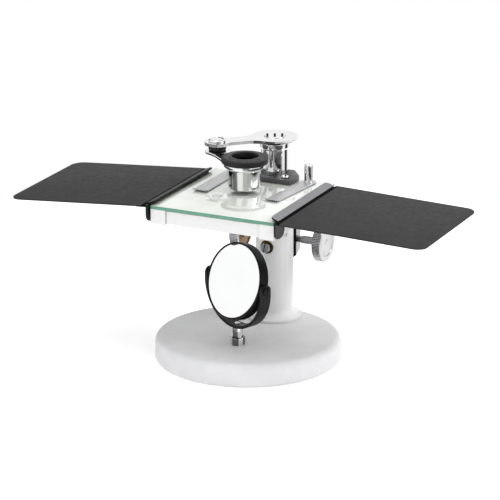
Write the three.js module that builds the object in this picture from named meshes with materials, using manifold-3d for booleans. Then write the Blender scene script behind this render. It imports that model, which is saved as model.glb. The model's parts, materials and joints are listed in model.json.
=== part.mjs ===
// Simple dissecting microscope: a round weighted base carries a pillar with a glass stage, a tilting
// two-sided mirror, a focusing lens post with a jointed arm and a loupe, and two hand rests that hook
// on the sides of the stage.
// Millimetres, +Z up, +X to the right of the user, +Y away from the user. The origin is the middle of
// the underside.
import * as THREE from "three";
import { mergeVertices } from "three/addons/utils/BufferGeometryUtils.js";
import Module from "manifold-3d";

const wasm = await Module();
wasm.setup();

// ---------------------------------------------------------------- driving dimensions
const degree = Math.PI / 180;
const joinGap = 0.3; // between a piece and the neighbour it is cut to fit
const fine = 40; // facets round a large turned piece
const medium = 24;
const small = 12;

const base = { radius: 65, height: 16.5, edge: 4.5, padRadius: 58, padThickness: 1.5 };
const pillar = { y: 43.2, radius: 13.3, footRadius: 19.3, filletTop: 24.4, top: 107 };
const post = {
  radius: 9.6,
  bore: 9.85,
  bottom: 40,
  neckRadius: 5,
  collarRadius: 10.2,
  collarBottom: 140.4,
  collarTop: 145,
};
const stage = { halfWidth: 46.15, front: -57.9, rear: 42, glassTop: 120.2, glassThickness: 2.5 };
const frame = {
  bottom: 107.3,
  railWidth: 11,
  barFront: 26,
  crossRailDepth: 8,
  setBack: 1,
  seam: 0.6,
  seamDepth: 2.5,
  hubRadius: 15.5,
};
const guidePlate = {
  halfWidth: 20.5,
  front: 24.5,
  shoulder: 39.5,
  rear: 50,
  rearHalfWidth: 12.5,
  thickness: 3.5,
};
const clipPin = { x: 29.5, y: 35.5, radius: 2.95, top: 134.5, bottom: 109 };
const clip = { width: 10.4, thickness: 0.8, reach: 52, tipRise: 1.3, leftTurn: 0, rightTurn: -5.5 };

const pinion = { behind: 12.3, z: 71.7, module: 0.6, teeth: 12, width: 5, shaftRadius: 2.25, hubRadius: 2.9 };
const knob = { outerFace: 35.4, thickness: 6.7, radius: 13.6, recessRadius: 11.2, recessDepth: 1.8 };
const housing = {
  halfWidth: 12,
  saddleFront: 5.7,
  split: 10.6,
  rear: 18,
  bottom: 59.8,
  top: 83.6,
  chamfer: 3.4,
};
const rack = { halfWidth: 2.4, tip: 9.3, back: 5.6, bottom: 43, top: 81 };
const friction = { z: 71.2, bushRadius: 4.7, screwRadius: 3.6, headOut: 17.4, bushOut: 13.6 };

const upperArm = {
  angle: 224.6,
  length: 42.3,
  top: 149,
  thickness: 2.2,
  headRadius: 16,
  endRadius: 8.9,
  waist: 6.1,
};
const capNut = {
  radius: 7.4,
  seat: 0.95,
  proud: 0.35,
  studRadius: 0.8,
  studHeight: 1.3,
  studSpacing: 5.2,
  turn: 27,
};
const lowerArm = {
  angle: -28.514,
  length: 32.467,
  top: 142.7,
  ringTop: 141.2,
  thickness: 1.8,
  endRadius: 8.5,
  halfWidth: 8.2,
};
const lensRing = { radius: 14.5, bottom: 139, taperBottom: 137.2, taperRadius: 12.4 };
const barrel = { radius: 11.3, bottom: 123.6, bore: 9.3, flangeRadius: 12.4 };
const eyecup = { radius: 16.3, bottom: 141.35, edge: 145.2, top: 146.4, holeRadius: 9.1 };

const mirror = {
  x: 2.2,
  y: -22,
  pivotZ: 62.1,
  forkTurn: -23.4,
  tilt: -17.5,
  cellRadius: 26.8,
  glassRadius: 25.5,
};
const mirrorCell = { halfDepth: 4.1, lip: 0.6, glassThickness: 1.8 };
const fork = { innerRadius: 27.6, thickness: 2.2, halfWidth: 4.2, earRadius: 4.2, archDrop: 3.2 };
const stem = { radius: 3.6, socketRadius: 5.3, socketHeight: 5.6 };

const handRest = {
  innerEdge: 49.5,
  length: 105.4,
  front: -60.7,
  rear: 37.2,
  top: 120.8,
  thickness: 1.3,
  corner: 8,
};
const hook = {
  thickness: 1.2,
  front: -57,
  rear: 34,
  webX: 48,
  webWidth: 1.2,
  lipWidth: 6.1,
  lipTilt: 20,
  lipZ: 121.5,
  lipCorner: 3,
};
const tab = { x: 47.4, width: 15, lowest: 108.2, top: 121, corner: 6, fronts: [-60.4, 20] };
const droop = { left: 4.6, right: 1.9 };

// ---------------------------------------------------------------- materials
const finish = (color, roughness, metalness) => new THREE.MeshStandardMaterial({ color, roughness, metalness });
const greyPaint = finish(0xcfcfd1, 0.45, 0);
const whitePaint = finish(0xececee, 0.4, 0);
const blackPaint = finish(0x202021, 0.45, 0);
const chrome = finish(0xe8e8ea, 0.08, 1);
const steel = finish(0xb9b9bb, 0.3, 1);
const brass = finish(0xa8803c, 0.35, 1);
const rubber = finish(0x262628, 0.8, 0);
const nylon = finish(0xdedcd2, 0.5, 0);
const plateGlass = finish(0xcfe6da, 0.05, 0);
const lensGlass = finish(0xdfe9ee, 0.03, 0);
const mirrorGlass = finish(0xf4f7f7, 0.02, 1);

// ---------------------------------------------------------------- shape helpers
// Every helper takes and returns a closed BufferGeometry.
function solidOf(geometry) {
  const bare = geometry.clone();
  bare.deleteAttribute("normal");
  bare.deleteAttribute("uv");
  const merged = mergeVertices(bare, 1e-4);
  const index = merged.index.array;
  const triangles = [];
  for (let i = 0; i < index.length; i += 3) {
    const [a, b, c] = [index[i], index[i + 1], index[i + 2]];
    if (a !== b && b !== c && c !== a) triangles.push(a, b, c);
  }
  const build = (order) => {
    const triVerts = new Uint32Array(order);
    const vertProperties = merged.getAttribute("position").array;
    return new wasm.Manifold(new wasm.Mesh({ numProp: 3, vertProperties, triVerts }));
  };
  const made = build(triangles);
  return made.volume() < 0 ? build(triangles.reverse()) : made;
}

function geometryOf(solid) {
  const mesh = solid.getMesh();
  const geometry = new THREE.BufferGeometry();
  geometry.setAttribute("position", new THREE.BufferAttribute(new Float32Array(mesh.vertProperties), 3));
  geometry.setIndex(new THREE.BufferAttribute(new Uint32Array(mesh.triVerts), 1));
  geometry.computeVertexNormals();
  return geometry;
}

const join = (first, ...others) => geometryOf(others.reduce((all, g) => all.add(solidOf(g)), solidOf(first)));
const cut = (first, ...tools) => geometryOf(tools.reduce((all, g) => all.subtract(solidOf(g)), solidOf(first)));

// An upright cylinder from height z0 to z1.
function rod(radius, z0, z1, facets = medium) {
  const geometry = new THREE.CylinderGeometry(radius, radius, z1 - z0, facets);
  return geometry.rotateX(Math.PI / 2).translate(0, 0, (z0 + z1) / 2);
}

function block(x0, x1, y0, y1, z0, z1) {
  const geometry = new THREE.BoxGeometry(x1 - x0, y1 - y0, z1 - z0);
  return geometry.translate((x0 + x1) / 2, (y0 + y1) / 2, (z0 + z1) / 2);
}

// A profile of [radius, height] points turned about Z. It starts and ends on the axis.
function turned(profile, facets = medium) {
  const points = profile.map(([radius, z]) => new THREE.Vector2(radius, z));
  return new THREE.LatheGeometry(points, facets).rotateX(Math.PI / 2);
}

// A ring: a closed profile of [radius, height] points turned about Z.
const turnedRing = (profile, facets = medium) => turned([...profile, profile[0]], facets);

// Points along an arc of a circle, from one angle to another in degrees.
function arc(centreX, centreY, radius, from, to, steps) {
  return Array.from({ length: steps + 1 }, (_, i) => {
    const angle = (from + ((to - from) * i) / steps) * degree;
    return [centreX + radius * Math.cos(angle), centreY + radius * Math.sin(angle)];
  });
}

// A flat outline of [x, y] points given thickness from z0 to z1.
function slab(outline, z0, z1) {
  const shape = new THREE.Shape(outline.map(([x, y]) => new THREE.Vector2(x, y)));
  const geometry = new THREE.ExtrudeGeometry(shape, { depth: z1 - z0, bevelEnabled: false });
  return geometry.translate(0, 0, z0);
}

// An upright piece laid so that its height runs along +X, +Y or -Y.
const alongX = (geometry) => geometry.rotateY(Math.PI / 2);
const alongRear = (geometry) => geometry.rotateX(-Math.PI / 2);
const alongFront = (geometry) => geometry.rotateX(Math.PI / 2);

// A screw whose head stands on height 0 and whose shank runs down, with a slot across the head.
function slottedScrew(headRadius, headHeight, shankRadius, shankLength, slotDepth = headHeight * 0.4) {
  const dome = headHeight * 0.75;
  const body = turned(
    [
      [0, -shankLength],
      [shankRadius, -shankLength],
      [shankRadius, 0],
      [headRadius, 0],
      [headRadius, dome],
      [headRadius * 0.8, headHeight],
      [0, headHeight],
    ],
    small,
  );
  const halfSlot = headRadius * 0.14;
  const reach = headRadius * 1.2;
  return cut(body, block(-reach, reach, -halfSlot, halfSlot, headHeight - slotDepth, headHeight + 1));
}

// Adds one named piece. The trip through a solid turns its faces outward, mirrored pieces too.
function place(group, name, geometry, material, x = 0, y = 0, z = 0) {
  const mesh = new THREE.Mesh(geometryOf(solidOf(geometry)), material);
  mesh.name = name;
  mesh.position.set(x, y, z);
  group.add(mesh);
  return mesh;
}

function subgroup(parent, x, y, z) {
  const group = new THREE.Group();
  group.position.set(x, y, z);
  parent.add(group);
  return group;
}

const microscope = new THREE.Group();
const glassBottom = stage.glassTop - stage.glassThickness;

// ---------------------------------------------------------------- base and pillar
function makeBase() {
  const shoulder = arc(base.radius - base.edge, base.height - base.edge, base.edge, 0, 90, 6);
  const underside = [[0, 0.4], [base.radius - 1.2, 0.4], [base.radius, 1.6]];
  const disc = turned([...underside, ...shoulder, [0, base.height]], fine);
  const padRecess = rod(base.padRadius + joinGap, -1, base.padThickness + joinGap, fine);
  const boltRadius = 3.3;
  const headPocket = rod(7, 0, 8).translate(0, pillar.y, 0);
  const boltHole = rod(boltRadius, 0, base.height + 1, small).translate(0, pillar.y, 0);
  const socketHole = rod(stem.radius - 0.8, 8, base.height + 1, small).translate(mirror.x, mirror.y, 0);
  place(microscope, "base", cut(disc, padRecess, headPocket, boltHole, socketHole), greyPaint);
  place(microscope, "base_pad", rod(base.padRadius, 0, base.padThickness, fine), rubber);
}

function makePillar() {
  const foot = pillar.footRadius - pillar.radius;
  const fillet = arc(pillar.footRadius, pillar.filletTop, foot, 270, 180, 6);
  const sole = [[0, base.height], [pillar.footRadius, base.height]];
  const outside = turned([...sole, ...fillet, [pillar.radius, pillar.top], [0, pillar.top]], fine);
  const postBore = rod(post.bore, post.bottom - 5, pillar.top + 1, medium);
  const boltBore = rod(3.2, base.height - 1, 32, small);
  const rearFlat = block(-15, 15, 9.1, 16, housing.bottom - joinGap, housing.top + joinGap);
  const bushBore = alongFront(rod(friction.bushRadius + 0.15, 9, 16)).translate(0, 0, friction.z);
  const guideBore = rod(1.5, 9, 16, small);
  const geometry = cut(outside, postBore, boltBore, rearFlat, bushBore, guideScrewPose(guideBore));
  place(microscope, "pillar", geometry, whitePaint, 0, pillar.y, 0);
  const bolt = join(rod(6, 2.4, 7.6, 6), rod(3, 5, 31, small));
  place(microscope, "pillar_bolt", bolt, steel, 0, pillar.y, 0);
}

// The guide screw points at the pillar's axis from the user's right, just under the pinion housing's top.
function guideScrewPose(geometry) {
  const turnFromRight = -30 * degree;
  return geometry.rotateY(Math.PI / 2).rotateZ(turnFromRight).translate(0, 0, 80.6);
}

function makeGuideScrew() {
  const screw = slottedScrew(1.8, 1, 1.3, 2.6).translate(0, 0, pillar.radius + 0.1);
  place(microscope, "post_guide_screw", guideScrewPose(screw), steel, 0, pillar.y, 0);
}

// ---------------------------------------------------------------- stage
function makeStageFrame() {
  const { halfWidth, front, rear } = stage;
  const inner = halfWidth - frame.railWidth;
  const top = glassBottom - 0.05;
  const rails = [-1, 1].map((side) => {
    const [x0, x1] = [side * inner, side * (halfWidth - 0.1)].sort((a, b) => a - b);
    return block(x0, x1, front + 0.3, rear, frame.bottom, top);
  });
  const crossFront = front + 0.3 + frame.setBack;
  const crossRear = crossFront + frame.crossRailDepth;
  const crossRail = block(-inner - 1, inner + 1, crossFront, crossRear, frame.bottom + 0.8, top - 0.6);
  const seams = [-1, 1].map((side) => {
    const [x0, x1] = [side * (inner - frame.seam), side * inner].sort((a, b) => a - b);
    return block(x0, x1, crossFront - 1, crossFront + frame.seamDepth, frame.bottom, top);
  });
  const rearBar = block(-inner - 1, inner + 1, frame.barFront, rear, frame.bottom, top);
  const hub = rod(frame.hubRadius, frame.bottom, top, fine).translate(0, pillar.y, 0);
  const rearPad = block(-11.5, 11.5, rear + joinGap, guidePlate.rear, top - 4, stage.glassTop - 0.05);
  const postBore = rod(post.bore + 0.1, frame.bottom - 1, stage.glassTop + 1, medium).translate(0, pillar.y, 0);
  const pinBores = [-1, 1].map((side) =>
    rod(clipPin.radius + 0.35, 100, 120, small).translate(side * clipPin.x, clipPin.y, 0),
  );
  const screwBores = [-1, 1].flatMap((side) => [
    rod(1.6, top - 6, top + 1, small).translate(side * 14, 30, 0),
    rod(2.6, top - 1.6, top + 1, small).translate(side * 39.4, -40.8, 0),
    rod(1.5, top - 8, top + 1, small).translate(side * 39.4, -40.8, 0),
  ]);
  const body = join(rails[0], rails[1], crossRail, rearBar, hub, rearPad);
  place(microscope, "stage_frame", cut(body, postBore, ...seams, ...pinBores, ...screwBores), whitePaint);
}

function makeStageGlass() {
  const plate = block(-stage.halfWidth, stage.halfWidth, stage.front, stage.rear, glassBottom, stage.glassTop);
  const postNotch = rod(post.bore + 0.6, 110, 130, medium).translate(0, pillar.y, 0);
  const holes = [-1, 1].flatMap((side) => [
    rod(clipPin.radius + 0.35, 110, 130, small).translate(side * clipPin.x, clipPin.y, 0),
    rod(1.8, 110, 130, small).translate(side * 14, 30, 0),
  ]);
  place(microscope, "stage_glass", cut(plate, postNotch, ...holes), plateGlass);
}

function makeGuidePlate() {
  const { halfWidth, front, shoulder, rear, rearHalfWidth, thickness } = guidePlate;
  const outline = [
    [-halfWidth, front],
    [halfWidth, front],
    [halfWidth, shoulder],
    [rearHalfWidth, rear],
    [-rearHalfWidth, rear],
    [-halfWidth, shoulder],
  ];
  const bottom = stage.glassTop + 0.05;
  const postNotch = rod(post.bore, 110, 130, medium).translate(0, pillar.y, 0);
  const screwHoles = [-1, 1].map((side) => rod(1.7, 110, 130, small).translate(side * 14, 30, 0));
  const plate = cut(slab(outline, bottom, bottom + thickness), postNotch, ...screwHoles);
  place(microscope, "guide_plate", plate, blackPaint);
  for (const [side, label] of [[-1, "left"], [1, "right"]]) {
    const plateScrew = slottedScrew(2.7, 1.6, 1.4, 8.4);
    const headBase = bottom + thickness + 0.05;
    place(microscope, `guide_plate_screw_${label}`, plateScrew, chrome, side * 14, 30, headBase);
    const railScrew = join(rod(2.4, -1.4, -0.3, small), rod(1.3, -7, -1, small));
    place(microscope, `rail_screw_${label}`, railScrew, steel, side * 39.4, -40.8, glassBottom);
  }
}

// A clip strip lies along -Y from its pin, with its tip bent up. It is drawn with the pin on the origin.
function makeClip(label, side, turn) {
  const pivot = subgroup(microscope, side * clipPin.x, clipPin.y, stage.glassTop);
  pivot.rotation.z = turn * degree;
  const half = clip.width / 2;
  const lie = 0.35; // the strip's height over the glass
  const top = lie + clip.thickness;
  const bend = -clip.reach + 3;
  const section = [
    [bend, lie],
    [half, lie],
    [half, top],
    [bend, top],
    [-clip.reach, top + clip.tipRise],
    [-clip.reach, lie + clip.tipRise],
  ];
  const strip = slab(section, -half, half).rotateX(Math.PI / 2).rotateZ(Math.PI / 2);
  const pinHole = rod(clipPin.radius + 0.1, -1, 5, small);
  const roundEnd = cut(block(-half - 1, half + 1, 0, half + 1, -1, 5), rod(half, -2, 6, medium));
  place(pivot, `clip_strip_${label}`, cut(strip, pinHole, roundEnd), steel);
  const low = clipPin.bottom - stage.glassTop;
  const high = clipPin.top - stage.glassTop;
  const pin = turned(
    [
      [0, low],
      [clipPin.radius, low],
      [clipPin.radius, high - 1.5],
      [clipPin.radius * 0.75, high - 0.4],
      [0, high],
    ],
    medium,
  );
  place(pivot, `clip_pin_${label}`, pin, chrome);
}

// ---------------------------------------------------------------- focusing post, rack and pinion
const pitchRadius = (pinion.module * pinion.teeth) / 2;
const toothPitch = Math.PI * pinion.module;

function makeFrictionScrew() {
  const front = pillar.y;
  const headHeight = 3.5;
  const shankLength = 3;
  const headBase = friction.headOut - headHeight;
  const bush = cut(rod(friction.bushRadius, post.bore + 0.9, friction.bushOut), rod(2.2, 0, 20, small));
  place(microscope, "friction_bush", alongFront(bush), brass, 0, front, friction.z);
  const screw = slottedScrew(friction.screwRadius, headHeight, 2, shankLength).rotateZ(80 * degree);
  place(microscope, "friction_screw", alongFront(screw.translate(0, 0, headBase)), steel, 0, front, friction.z);
  const pad = rod(1.9, post.radius + 0.15, headBase - shankLength - 0.1, small);
  place(microscope, "friction_pad", alongFront(pad), nylon, 0, front, friction.z);
}

function makeHousing() {
  const shaftBore = alongX(rod(pinion.shaftRadius + 0.2, -20, 20, small)).translate(0, pinion.behind, pinion.z);
  const gearChamber = alongX(rod(4.7, -3.1, 3.1, small)).translate(0, pinion.behind, pinion.z);
  const { halfWidth, saddleFront, split, rear, bottom, top, chamfer } = housing;
  const pillarClearance = rod(pillar.radius + 0.1, bottom - 1, top + 1, fine);
  const behindFlat = block(-10, 10, 9.2, 20, bottom - 1, top + 1);
  const relief = rod(post.bore, bottom - 1, top + 1, medium);
  const pillarShape = cut(pillarClearance, behindFlat);
  const cheeks = cut(block(-halfWidth, halfWidth, saddleFront, split, bottom, top), pillarShape);
  place(microscope, "pinion_saddle", cut(cheeks, relief, shaftBore, gearChamber), blackPaint, 0, pillar.y, 0);
  const side = [
    [split + 0.05, bottom],
    [rear - 1, bottom + chamfer],
    [rear, bottom + chamfer + 1],
    [rear, top],
    [split + 0.05, top],
  ];
  const cover = slab(side, -halfWidth, halfWidth).rotateX(Math.PI / 2).rotateZ(Math.PI / 2);
  const screwSpots = [-1, 1].flatMap((x) => [-8.2, 8.2].map((z) => [x * 8.6, pinion.z + z]));
  const screwBores = screwSpots.map(([x, z]) => alongRear(rod(1.4, 0, 30, 12)).translate(x, 0, z));
  place(microscope, "pinion_cover", cut(cover, shaftBore, gearChamber, ...screwBores), steel, 0, pillar.y, 0);
  screwSpots.forEach(([x, z], i) => {
    const screw = alongRear(slottedScrew(2.1, 1.1, 1.2, 6.5));
    place(microscope, `pinion_cover_screw_${i + 1}`, screw, steel, x, pillar.y + rear + 0.05, z);
  });
}

// A straight-sided gear tooth, drawn from its root to its tip.
function gearOutline() {
  const tip = pitchRadius + pinion.module * 0.9;
  const root = pitchRadius - pinion.module * 1.2;
  const step = 360 / pinion.teeth;
  return Array.from({ length: pinion.teeth }, (_, tooth) => {
    // A gap faces the rack at rest, so the first tooth starts half a step round.
    const middle = (tooth + 0.5) * step - 90;
    const rootFlanks = arc(0, 0, root, middle - step * 0.36, middle + step * 0.36, 1);
    const tipFlanks = arc(0, 0, tip, middle - step * 0.1, middle + step * 0.1, 1);
    return [rootFlanks[0], ...tipFlanks, rootFlanks[1]];
  }).flat();
}

function makePinion() {
  const axle = subgroup(microscope, 0, pillar.y + pinion.behind, pinion.z);
  const shaftEnd = knob.outerFace - 1.7;
  const shaft = join(
    rod(pinion.shaftRadius, -shaftEnd, shaftEnd, small),
    rod(pinion.hubRadius, 16, shaftEnd, medium),
    rod(pinion.hubRadius, -shaftEnd, -16, medium),
  );
  place(axle, "pinion_shaft", alongX(shaft), steel);
  const shaftHole = rod(pinion.shaftRadius + 0.05, -5, 5, small);
  const gear = cut(slab(gearOutline(), -pinion.width / 2, pinion.width / 2), shaftHole);
  place(axle, "pinion_gear", gear.rotateX(Math.PI / 2).rotateZ(Math.PI / 2), brass);
  for (const [side, label] of [[-1, "left"], [1, "right"]]) {
    const face = knob.outerFace;
    const inner = face - knob.thickness;
    const floor = inner + knob.recessDepth;
    const bore = pinion.hubRadius + 0.05;
    const wheel = turned(
      [
        [0, shaftEnd + 0.1],
        [bore, shaftEnd + 0.1],
        [bore, floor],
        [knob.recessRadius, floor],
        [knob.recessRadius, inner],
        [knob.radius - 0.5, inner],
        [knob.radius, inner + 0.5],
        [knob.radius, face - 0.5],
        [knob.radius - 0.5, face],
        [0, face],
      ],
      fine,
    );
    const insert = turnedRing(
      [
        [bore, floor - 0.05],
        [bore, inner - 0.4],
        [bore + 1.6, inner - 0.4],
        [bore + 1.6, floor - 1.2],
        [knob.recessRadius - 0.2, floor - 1.2],
        [knob.recessRadius - 0.2, floor - 0.05],
      ],
      medium,
    );
    place(axle, `focus_knob_${label}`, alongX(wheel).scale(side, 1, 1), chrome);
    place(axle, `knob_insert_${label}`, alongX(insert).scale(side, 1, 1), brass);
  }
}

function makePost() {
  const carrier = subgroup(microscope, 0, pillar.y, 0);
  const { radius, bottom, neckRadius, collarRadius, collarBottom, collarTop } = post;
  const column = turned(
    [
      [0, bottom],
      [radius - 0.6, bottom],
      [radius, bottom + 0.6],
      [radius, collarBottom],
      [0, collarBottom],
    ],
    fine,
  );
  const halfSlot = rack.halfWidth + 0.15;
  const slot = block(-halfSlot, halfSlot, rack.back - 0.1, 12, bottom - 1, rack.top + 1);
  const capSeat = upperArm.top - capNut.seat;
  const neck = rod(neckRadius, collarBottom - 1, capSeat);
  place(carrier, "lens_post", join(cut(column, slot), neck), chrome);
  const bore = neckRadius + 0.1;
  const collar = turnedRing(
    [
      [bore, collarBottom + 0.05],
      [radius, collarBottom + 0.05],
      [collarRadius, collarBottom + 0.7],
      [collarRadius, collarTop - 0.3],
      [collarRadius - 0.3, collarTop],
      [bore, collarTop],
    ],
    fine,
  );
  place(carrier, "post_collar", collar, chrome);
  const armBottom = upperArm.top - upperArm.thickness;
  const washerHole = rod(bore, collarTop - 1, armBottom + 1);
  const washer = cut(rod(radius - 0.2, collarTop + 0.05, armBottom - 0.1, fine), washerHole);
  place(carrier, "arm_washer", washer, rubber);
  makeRack(carrier);
  const top = upperArm.top + capNut.proud;
  const disc = turned(
    [
      [0, capSeat + 0.05],
      [capNut.radius, capSeat + 0.05],
      [capNut.radius, top - 0.2],
      [capNut.radius - 0.4, top],
      [0, top],
    ],
    medium,
  );
  const studs = [-1, 0, 1].map((step) => {
    const stud = rod(capNut.studRadius, top - 0.2, top + capNut.studHeight, small);
    return stud.translate(step * capNut.studSpacing, 0, 0);
  });
  place(carrier, "arm_cap_nut", join(disc, ...studs).rotateZ(capNut.turn * degree), chrome);
  return carrier;
}

function makeRack(carrier) {
  const pitchLine = pinion.behind - pitchRadius;
  const root = pitchLine - pinion.module * 1.2;
  const teeth = [];
  // A rack tooth stands level with the pinion's axis at rest.
  const first = Math.ceil((rack.bottom + toothPitch / 2 - pinion.z) / toothPitch);
  const last = Math.floor((rack.top - toothPitch / 2 - pinion.z) / toothPitch);
  for (let i = first; i <= last; i++) {
    const z = pinion.z + i * toothPitch;
    const halfRoot = toothPitch * 0.36;
    const halfTip = toothPitch * 0.1;
    teeth.push([root, z - halfRoot], [rack.tip, z - halfTip], [rack.tip, z + halfTip], [root, z + halfRoot]);
  }
  const foot = [[rack.back, rack.bottom], [root, rack.bottom]];
  const outline = [...foot, ...teeth, [root, rack.top], [rack.back, rack.top]];
  const bar = slab(outline, -rack.halfWidth, rack.halfWidth).rotateX(Math.PI / 2).rotateZ(Math.PI / 2);
  place(carrier, "focus_rack", bar, steel);
}

// ---------------------------------------------------------------- arms and lens
// An arm's outline: a bar that widens into its round head, which stands on the origin.
function armOutline(waist, length, headRadius) {
  const leave = 45 * degree; // where the blend leaves the head's rim
  const startX = headRadius * Math.cos(leave);
  const startY = headRadius * Math.sin(leave);
  const reach = (startY - waist) / Math.cos(leave);
  const cornerX = startX + reach * Math.sin(leave);
  const shape = new THREE.Shape();
  shape.moveTo(startX, -startY);
  shape.quadraticCurveTo(cornerX, -waist, cornerX + reach, -waist);
  shape.lineTo(length, -waist);
  shape.lineTo(length, waist);
  shape.lineTo(cornerX + reach, waist);
  shape.quadraticCurveTo(cornerX, waist, startX, startY);
  return shape.getPoints(6).map((p) => [p.x, p.y]);
}

function makeUpperArm(carrier) {
  const arm = subgroup(carrier, 0, 0, 0);
  arm.rotation.z = upperArm.angle * degree;
  const { top, thickness, headRadius, endRadius, waist, length } = upperArm;
  const bottom = top - thickness;
  const bar = slab(armOutline(waist, length, headRadius), bottom, top);
  const head = turned(
    [
      [0, bottom],
      [headRadius - 1.3, bottom],
      [headRadius, bottom + 0.9],
      [headRadius, top - 0.6],
      [headRadius - 0.6, top],
      [0, top],
    ],
    fine,
  );
  const end = rod(endRadius, bottom, top, medium).translate(length, 0, 0);
  const pivotBore = rod(post.neckRadius + 0.25, bottom - 1, top + 1);
  const capSeat = rod(capNut.radius + 0.2, top - capNut.seat, top + 1);
  const screwBore = rod(2.2, bottom - 1, top + 1, small).translate(length, 0, 0);
  place(arm, "upper_arm", cut(join(head, bar, end), pivotBore, capSeat, screwBore), chrome);
  const screw = slottedScrew(6, 1.8, 2.05, 9.7, 0.7).rotateZ(75 * degree);
  place(arm, "elbow_screw", screw, chrome, length, 0, top + 0.05);
  const spacer = turnedRing(
    [
      [2.2, lowerArm.top + 0.1],
      [5.6, lowerArm.top + 0.1],
      [6.2, lowerArm.top + 0.8],
      [6.2, bottom - 0.8],
      [5.6, bottom - 0.1],
      [2.2, bottom - 0.1],
    ],
    medium,
  );
  place(arm, "elbow_spacer", spacer, rubber, length, 0, 0);
  const nutTop = lowerArm.top - lowerArm.thickness - 0.1;
  const nut = cut(rod(4, nutTop - 1.3, nutTop, 6), rod(2.15, 130, 150, small));
  place(arm, "elbow_nut", nut, chrome, length, 0, 0);
  return arm;
}

// The lower arm steps down before its lens ring, to clear the eyecup.
function makeLowerArm(upper) {
  const arm = subgroup(upper, upperArm.length, 0, 0);
  arm.rotation.z = (lowerArm.angle - upperArm.angle) * degree;
  const { top, ringTop, thickness, endRadius, halfWidth, length } = lowerArm;
  const stepStart = 8.2;
  const stepEnd = length - eyecup.radius - 0.3;
  const side = [
    [0, top - thickness],
    [stepStart, top - thickness],
    [stepEnd, ringTop - thickness],
    [length, ringTop - thickness],
    [length, ringTop],
    [stepEnd, ringTop],
    [stepStart, top],
    [0, top],
  ];
  const bar = slab(side, -halfWidth, halfWidth).rotateX(Math.PI / 2);
  const end = rod(endRadius, top - thickness, top);
  const ring = turned(
    [
      [0, lensRing.taperBottom],
      [lensRing.taperRadius, lensRing.taperBottom],
      [lensRing.radius, lensRing.bottom],
      [lensRing.radius, ringTop],
      [0, ringTop],
    ],
    fine,
  ).translate(length, 0, 0);
  const screwBore = rod(2.25, 130, 150, small);
  const lensBore = rod(barrel.radius + 0.25, 130, 150, fine).translate(length, 0, 0);
  place(arm, "lower_arm", cut(join(bar, end, ring), screwBore, lensBore), chrome);
  return arm;
}

function makeLens(lower) {
  const lens = subgroup(lower, lowerArm.length, 0, 0);
  const { radius, bottom, bore, flangeRadius } = barrel;
  const seat = lowerArm.ringTop + 0.1;
  const tube = turnedRing(
    [
      [bore, bottom],
      [radius - 0.4, bottom],
      [radius, bottom + 0.4],
      [radius, seat],
      [flangeRadius, seat],
      [flangeRadius, seat + 1],
      [bore, seat + 1],
    ],
    fine,
  );
  place(lens, "lens_barrel", tube, chrome);
  const cup = turnedRing(
    [
      [flangeRadius + 0.15, eyecup.bottom],
      [eyecup.radius - 0.6, eyecup.bottom],
      [eyecup.radius, eyecup.bottom + 0.6],
      [eyecup.radius, eyecup.edge],
      [eyecup.radius - 1.5, eyecup.edge + 0.5],
      [eyecup.holeRadius + 0.6, eyecup.top],
      [eyecup.holeRadius, eyecup.top - 0.6],
      [eyecup.holeRadius, seat + 1.1],
      [flangeRadius + 0.15, seat + 1.1],
    ],
    fine,
  );
  place(lens, "eyecup", cup, rubber);
  const doublet = (z0, z1, bulge) => {
    const edge = bore - 0.1;
    const radiusOfBulge = (edge * edge + bulge * bulge) / (2 * bulge);
    const cap = (sign, z) => Array.from({ length: 5 }, (_, i) => {
      const r = (edge * (sign > 0 ? 4 - i : i)) / 4;
      return [r, z + sign * (Math.sqrt(radiusOfBulge ** 2 - r * r) - (radiusOfBulge - bulge))];
    });
    return turned([...cap(-1, z0), ...cap(1, z1)], medium);
  };
  place(lens, "eye_lens", doublet(138.6, 140.2, 1.4), lensGlass);
  place(lens, "field_lens", doublet(128.4, 129.8, 1.2), lensGlass);
  const liner = (wall, z0, z1) => cut(rod(bore - 0.1, z0, z1), rod(bore - 0.1 - wall, z0 - 1, z1 + 1));
  place(lens, "lens_spacer", liner(1.2, 130.4, 138), blackPaint);
  place(lens, "lens_retainer", liner(1.4, 125.4, 127.6), blackPaint);
}

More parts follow.
